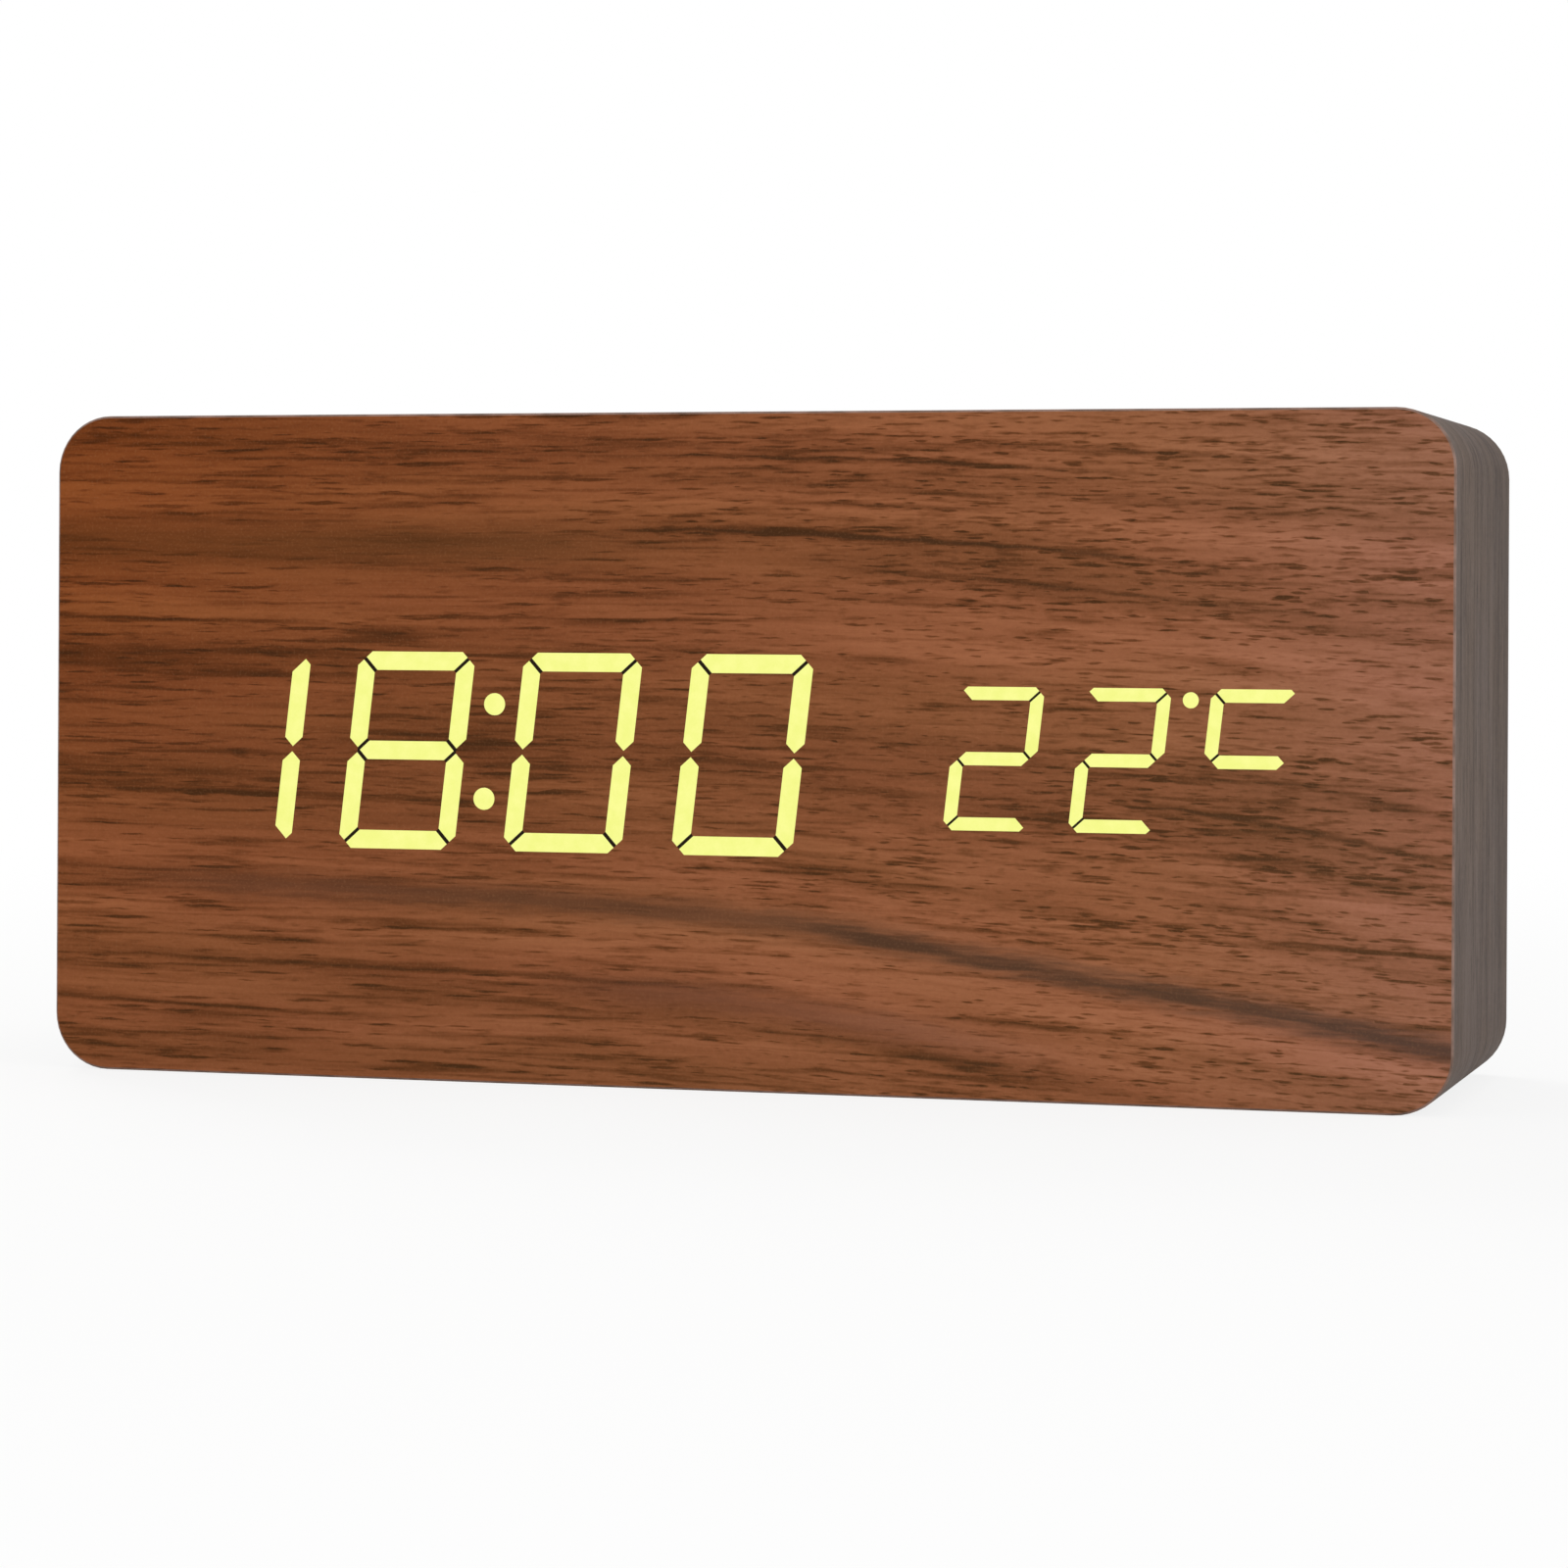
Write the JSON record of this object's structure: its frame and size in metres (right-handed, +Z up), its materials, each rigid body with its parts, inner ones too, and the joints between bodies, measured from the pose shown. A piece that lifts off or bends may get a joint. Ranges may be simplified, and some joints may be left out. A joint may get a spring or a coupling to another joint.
{
  "type": "digital desk clock",
  "caption": "Box-shaped digital desk clock: wood-print front with lit time and temperature, rear push buttons, power socket and a hinged battery door.",
  "frame": {"origin": "middle of the underside, on the surface that the clock stands on", "axes": "+Z up, the lit front faces -Y, +X to the right seen from the front"},
  "size_m": [0.15, 0.043, 0.07],
  "materials": {
    "fibreboard": "raw fibreboard",
    "walnut_film": "walnut-print film, satin",
    "dark_film": "grey-brown wood-print film, satin",
    "black_plastic": "fine moulded texture",
    "lit_guide": "translucent, lit from behind",
    "unlit_guide": "translucent",
    "circuit_board": "green solder mask",
    "led_chip": "clear resin",
    "white_nylon": "moulded",
    "screw_steel": "zinc plated",
    "black_screw": "black oxide",
    "chip_black": "epoxy",
    "bright_can": "plated",
    "capacitor_sleeve": "sleeved",
    "ribbon_grey": "flat cable",
    "switch_body": "moulded",
    "switch_plunger": "moulded",
    "sensor_epoxy": "epoxy bead on leads",
    "cell_jacket": "printed jacket, bare ends",
    "contact_nickel": "nickel plated",
    "red_lead": "insulated wire",
    "black_lead": "insulated wire",
    "button_plastic": "moulded, slightly shiny"
  },
  "bodies": {
    "case": {"case_shell": "fibreboard", "corner_blocks": "fibreboard", "front_film": "walnut_film", "side_wrap": "dark_film", "light_mask": "black_plastic", "rear_cover": "black_plastic", "hour_tens_segments": "lit_guide", "hour_ones_segments": "lit_guide", "colon_dots": "lit_guide", "minute_tens_segments": "lit_guide", "minute_ones_segments": "lit_guide", "temperature_tens_segments": "lit_guide", "temperature_ones_segments": "lit_guide", "degree_dot": "lit_guide", "celsius_segments": "lit_guide", "unlit_segments": "unlit_guide", "display_board": "circuit_board", "control_board": "circuit_board", "segment_leds": "led_chip", "board_spacers": "white_nylon", "display_header": "white_nylon", "control_header": "white_nylon", "board_screws": "screw_steel", "control_board_screws": "screw_steel", "cover_screws": "black_screw", "clock_chip": "chip_black", "driver_chips": "chip_black", "segment_resistors": "chip_black", "sounder": "chip_black", "quartz_crystal": "bright_can", "microphone": "bright_can", "power_socket_shell": "bright_can", "smoothing_capacitor": "capacitor_sleeve", "ribbon_cable": "ribbon_grey", "set_switch": "switch_body", "up_switch": "switch_body", "down_switch": "switch_body", "power_socket_tongue": "switch_body", "temperature_sensor": "sensor_epoxy", "cell_1": "cell_jacket", "cell_2": "cell_jacket", "cell_3": "cell_jacket", "cell_4": "cell_jacket", "positive_contact": "contact_nickel", "negative_contact": "contact_nickel", "bridge_contacts": "contact_nickel", "contact_springs": "contact_nickel", "positive_lead": "red_lead", "negative_lead": "black_lead"},
    "set_button": {"set_button": "button_plastic", "set_plunger": "switch_plunger"},
    "up_button": {"up_button": "button_plastic", "up_plunger": "switch_plunger"},
    "down_button": {"down_button": "button_plastic", "down_plunger": "switch_plunger"},
    "battery_door": {"battery_door": "black_plastic"}
  },
  "joints": [
    {"name": "set_press", "type": "slide", "parent": "case", "child": "set_button", "axis": [0, -1, 0], "range_m": [0, 0.0005], "stiffness_N_per_m": 2000},
    {"name": "up_press", "type": "slide", "parent": "case", "child": "up_button", "axis": [0, -1, 0], "range_m": [0, 0.0005], "stiffness_N_per_m": 2000},
    {"name": "down_press", "type": "slide", "parent": "case", "child": "down_button", "axis": [0, -1, 0], "range_m": [0, 0.0005], "stiffness_N_per_m": 2000},
    {"name": "battery_door_hinge", "type": "hinge", "parent": "case", "child": "battery_door", "pos_m": [0.0295, 0.0195, 0.0126], "axis": [-1, 0, 0], "range_deg": [0, 90]}
  ]
}
